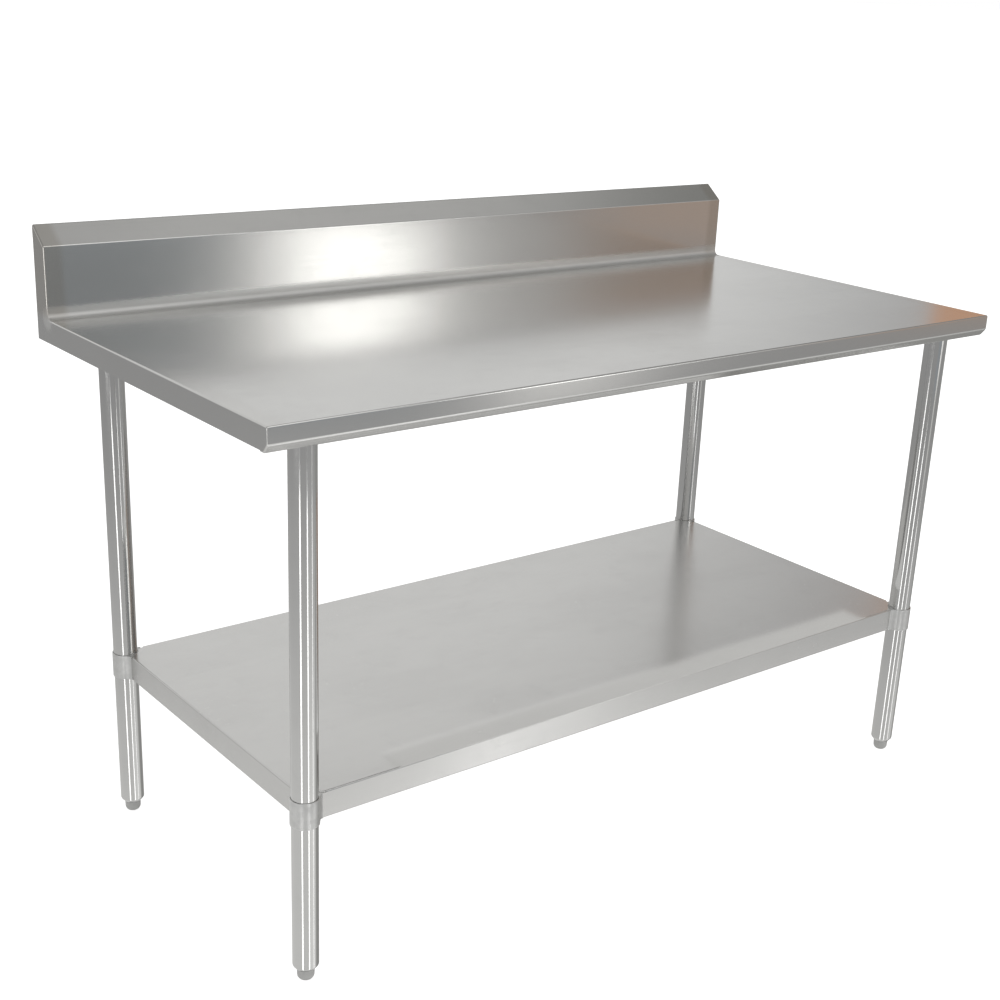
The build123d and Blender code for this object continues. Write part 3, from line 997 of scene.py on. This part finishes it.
def add_card(name, centre, width, low, high, colour, strength=1.0, aim=(0.0, 0.0)):
    """Upright card that faces a point of the floor plan."""
    x, y = centre
    turn = atan2(aim[1] - y, aim[0] - x)
    side = Vector((-sin(turn), cos(turn), 0)) * width / 2
    foot, rise = Vector((x, y, low)), Vector((0, 0, high - low))
    add_panel(name, (foot - side, foot + side, foot + side + rise, foot - side + rise), colour, strength)


def make_world():
    """Pale studio: white behind the table, grey in front and above, a bright floor below."""
    world = bpy.data.worlds.new("studio")
    bpy.context.scene.world = world
    world.cycles.sampling_method = "NONE"
    tree = bare_tree(world)
    way = tree.nodes.new("ShaderNodeTexCoord").outputs["Generated"]
    height = add_node(tree, "ShaderNodeSeparateXYZ", {0: way}).outputs[2]

    def along(direction, low, high):
        inputs = {0: way, 1: direction}
        dot = add_node(tree, "ShaderNodeVectorMath", inputs, operation="DOT_PRODUCT").outputs["Value"]
        return remap(tree, dot, low, high)

    # above the horizon: a grey room that lifts toward the front, a dark patch high on the
    # right with a pale one over it, and white behind the table
    lifted = maths(tree, "MULTIPLY", remap(tree, height, -0.05, 0.20), along((0.0, -1.0, 0.0), 0.2, 0.6))
    front = blended(tree, lifted, (0.39, 0.39, 0.39, 1), (0.68, 0.68, 0.675, 1))
    dark_patch = along((0.72, 0.10, 0.69), 0.93, 0.99)
    front = blended(tree, dark_patch, front, (0.27, 0.27, 0.26, 1))
    pale_patch = along((0.50, 0.07, 0.86), 0.965, 0.995)
    front = blended(tree, pale_patch, front, (0.62, 0.62, 0.61, 1))
    back = along((-0.10, 0.995, 0.0), 0.42, 0.67)
    sky = blended(tree, back, front, (0.82, 0.82, 0.815, 1))
    # below it: a floor that is brightest toward the front right, dim near the horizon and
    # shaded under the right end
    near = along((0.75, -0.66, 0.0), 0.45, 0.80)
    lit = blended(tree, near, (0.76, 0.76, 0.75, 1), (0.94, 0.94, 0.93, 1))
    ground = blended(tree, remap(tree, height, -0.23, -0.54), (0.38, 0.38, 0.38, 1), lit)
    shade = along((0.80, 0.14, -0.58), 0.80, 0.97)
    ground = blended(tree, shade, ground, (0.36, 0.36, 0.35, 1))
    room = blended(tree, remap(tree, height, -0.10, 0.02), ground, sky)
    seen = tree.nodes.new("ShaderNodeLightPath").outputs["Is Camera Ray"]
    shown = blended(tree, seen, room, (1.0, 1.0, 1.0, 1))
    background = add_node(tree, "ShaderNodeBackground", {"Color": shown, "Strength": 1.0})
    show(tree, background.outputs[0], "World")


def add_floor(width):
    """Plain pale floor, white to the camera, that catches the feet's soft shadows."""
    material = bpy.data.materials.new("floor")
    tree = bare_tree(material)
    paint = add_node(tree, "ShaderNodeBsdfDiffuse", {"Color": (0.85, 0.85, 0.85, 1)})
    seen = tree.nodes.new("ShaderNodeLightPath").outputs["Is Camera Ray"]
    lift = maths(tree, "MULTIPLY", seen, 0.80)
    glow = add_node(tree, "ShaderNodeEmission", {"Color": (1, 1, 1, 1), "Strength": lift})
    both = add_node(tree, "ShaderNodeAddShader", {0: paint.outputs[0], 1: glow.outputs[0]})
    show(tree, both.outputs[0])
    material.cycles.emission_sampling = "NONE"
    bm = bmesh.new()
    bmesh.ops.create_grid(bm, x_segments=1, y_segments=1, size=width / 2)
    floor = add_object("floor", mesh_from("floor", bm, material))
    floor.visible_glossy = False


def add_softbox(name, place, size, power):
    """Soft lamp that shines straight down."""
    lamp = bpy.data.lights.new(name, "AREA")
    lamp.shape = "RECTANGLE"
    lamp.size, lamp.size_y = size
    lamp.energy = power
    holder = add_object(name, lamp)
    holder.location = place
    holder.visible_camera = False


class WORKTABLE_OT_stage(bpy.types.Operator):
    """Pale floor, soft studio light, cards for the reflections, and the camera"""

    bl_idname = "worktable.stage"
    bl_label = "Stage"

    def execute(self, context):
        settings = context.scene.stage_settings
        make_world()
        add_floor(settings.floor_size)
        add_softbox("overhead", (-0.6, -1.3, 2.7), (2.6, 1.6), 10.0)
        white = (1.0, 0.995, 0.98)
        add_card("window_foot", (1.80, -2.80), 0.70, -0.30, 0.18, white, 0.75, (1.80, 0.0))
        add_card("window", (1.62, -2.80), 0.40, 0.18, 1.15, white, 1.38, (1.62, 0.0))
        add_card("window_edge", (2.06, -2.80), 0.48, 0.18, 1.15, white, 0.84, (2.06, 0.0))
        add_card("window_top", (1.80, -2.80), 0.72, 1.15, 2.40, white, 3.0, (1.80, 0.0))
        add_card("blue_wall", (0.62, -3.05), 1.3, 0.12, 2.2, (0.355, 0.378, 0.398))
        add_card("warm_wall", (2.95, -1.95), 0.95, 0.40, 2.4, (0.49, 0.385, 0.32))
        add_card("orange_wall", (3.63, 0.93), 1.6, 0.9, 2.2, (0.60, 0.36, 0.235))
        add_card("strip_left", (-3.15, -2.17), 0.48, -6.0, -0.22, (1, 1, 1), 2.8)
        add_card("side_window", (-3.10, -0.85), 1.5, 0.24, 0.95, (1, 1, 1), 2.6)
        plan = ((-0.50, -0.37), (0.60, -0.37), (0.60, -0.26), (-0.50, -0.26))
        under = [(x, y, 0.335) for x, y in plan]
        add_panel("under_reflector", under, (0.72, 0.72, 0.71), 1.0)
        add_card("strip_front", (-0.53, -3.22), 0.36, -6.0, -0.20, (1, 1, 1), 2.6)
        add_card("strip_right", (1.60, -2.70), 0.25, -6.0, -0.32, (1, 1, 1), 2.0)
        data = bpy.data.cameras.new("camera")
        data.sensor_width = 36.0
        data.lens = settings.lens
        data.shift_x, data.shift_y = settings.shift
        data.clip_end = 1000.0
        camera = add_object("camera", data)
        camera.location = settings.camera_place
        camera.rotation_euler = settings.camera_turn
        context.scene.camera = camera
        context.scene.view_settings.view_transform = "Standard"
        return {"FINISHED"}


# ---- panel and registration ----

OPERATORS = (
    WORKTABLE_OT_worktop,
    WORKTABLE_OT_undershelf,
    WORKTABLE_OT_channels,
    WORKTABLE_OT_sockets,
    WORKTABLE_OT_fasteners,
    WORKTABLE_OT_legs,
    WORKTABLE_OT_feet,
    WORKTABLE_OT_collars,
    WORKTABLE_OT_stage,
)
SETTINGS = {
    "worktop_sizes": WorktopSizes,
    "shelf_sizes": ShelfSizes,
    "leg_sizes": LegSizes,
    "table_finish": TableFinish,
    "stage_settings": StageSettings,
}


class WORKTABLE_PT_panel(bpy.types.Panel):
    """Sizes, finishes and build steps of the work table"""

    bl_idname = "WORKTABLE_PT_panel"
    bl_label = "Work Table"
    bl_space_type = "VIEW_3D"
    bl_region_type = "UI"
    bl_category = "Work Table"

    def draw(self, context):
        for name, group in SETTINGS.items():
            box = self.layout.box()
            for prop in group.__annotations__:
                box.prop(getattr(context.scene, name), prop)
        for operator in OPERATORS:
            self.layout.operator(operator.bl_idname)


def register():
    for group in SETTINGS.values():
        bpy.utils.register_class(group)
    for cls in (*OPERATORS, WORKTABLE_PT_panel):
        bpy.utils.register_class(cls)
    for name, group in SETTINGS.items():
        setattr(bpy.types.Scene, name, PointerProperty(type=group))


def unregister():
    for name in SETTINGS:
        delattr(bpy.types.Scene, name)
    for cls in (WORKTABLE_PT_panel, *reversed(OPERATORS)):
        bpy.utils.unregister_class(cls)
    for group in SETTINGS.values():
        bpy.utils.unregister_class(group)


def main():
    register()
    for operator in OPERATORS:
        family, name = operator.bl_idname.split(".")
        getattr(getattr(bpy.ops, family), name)()


if __name__ == "__main__":
    main()
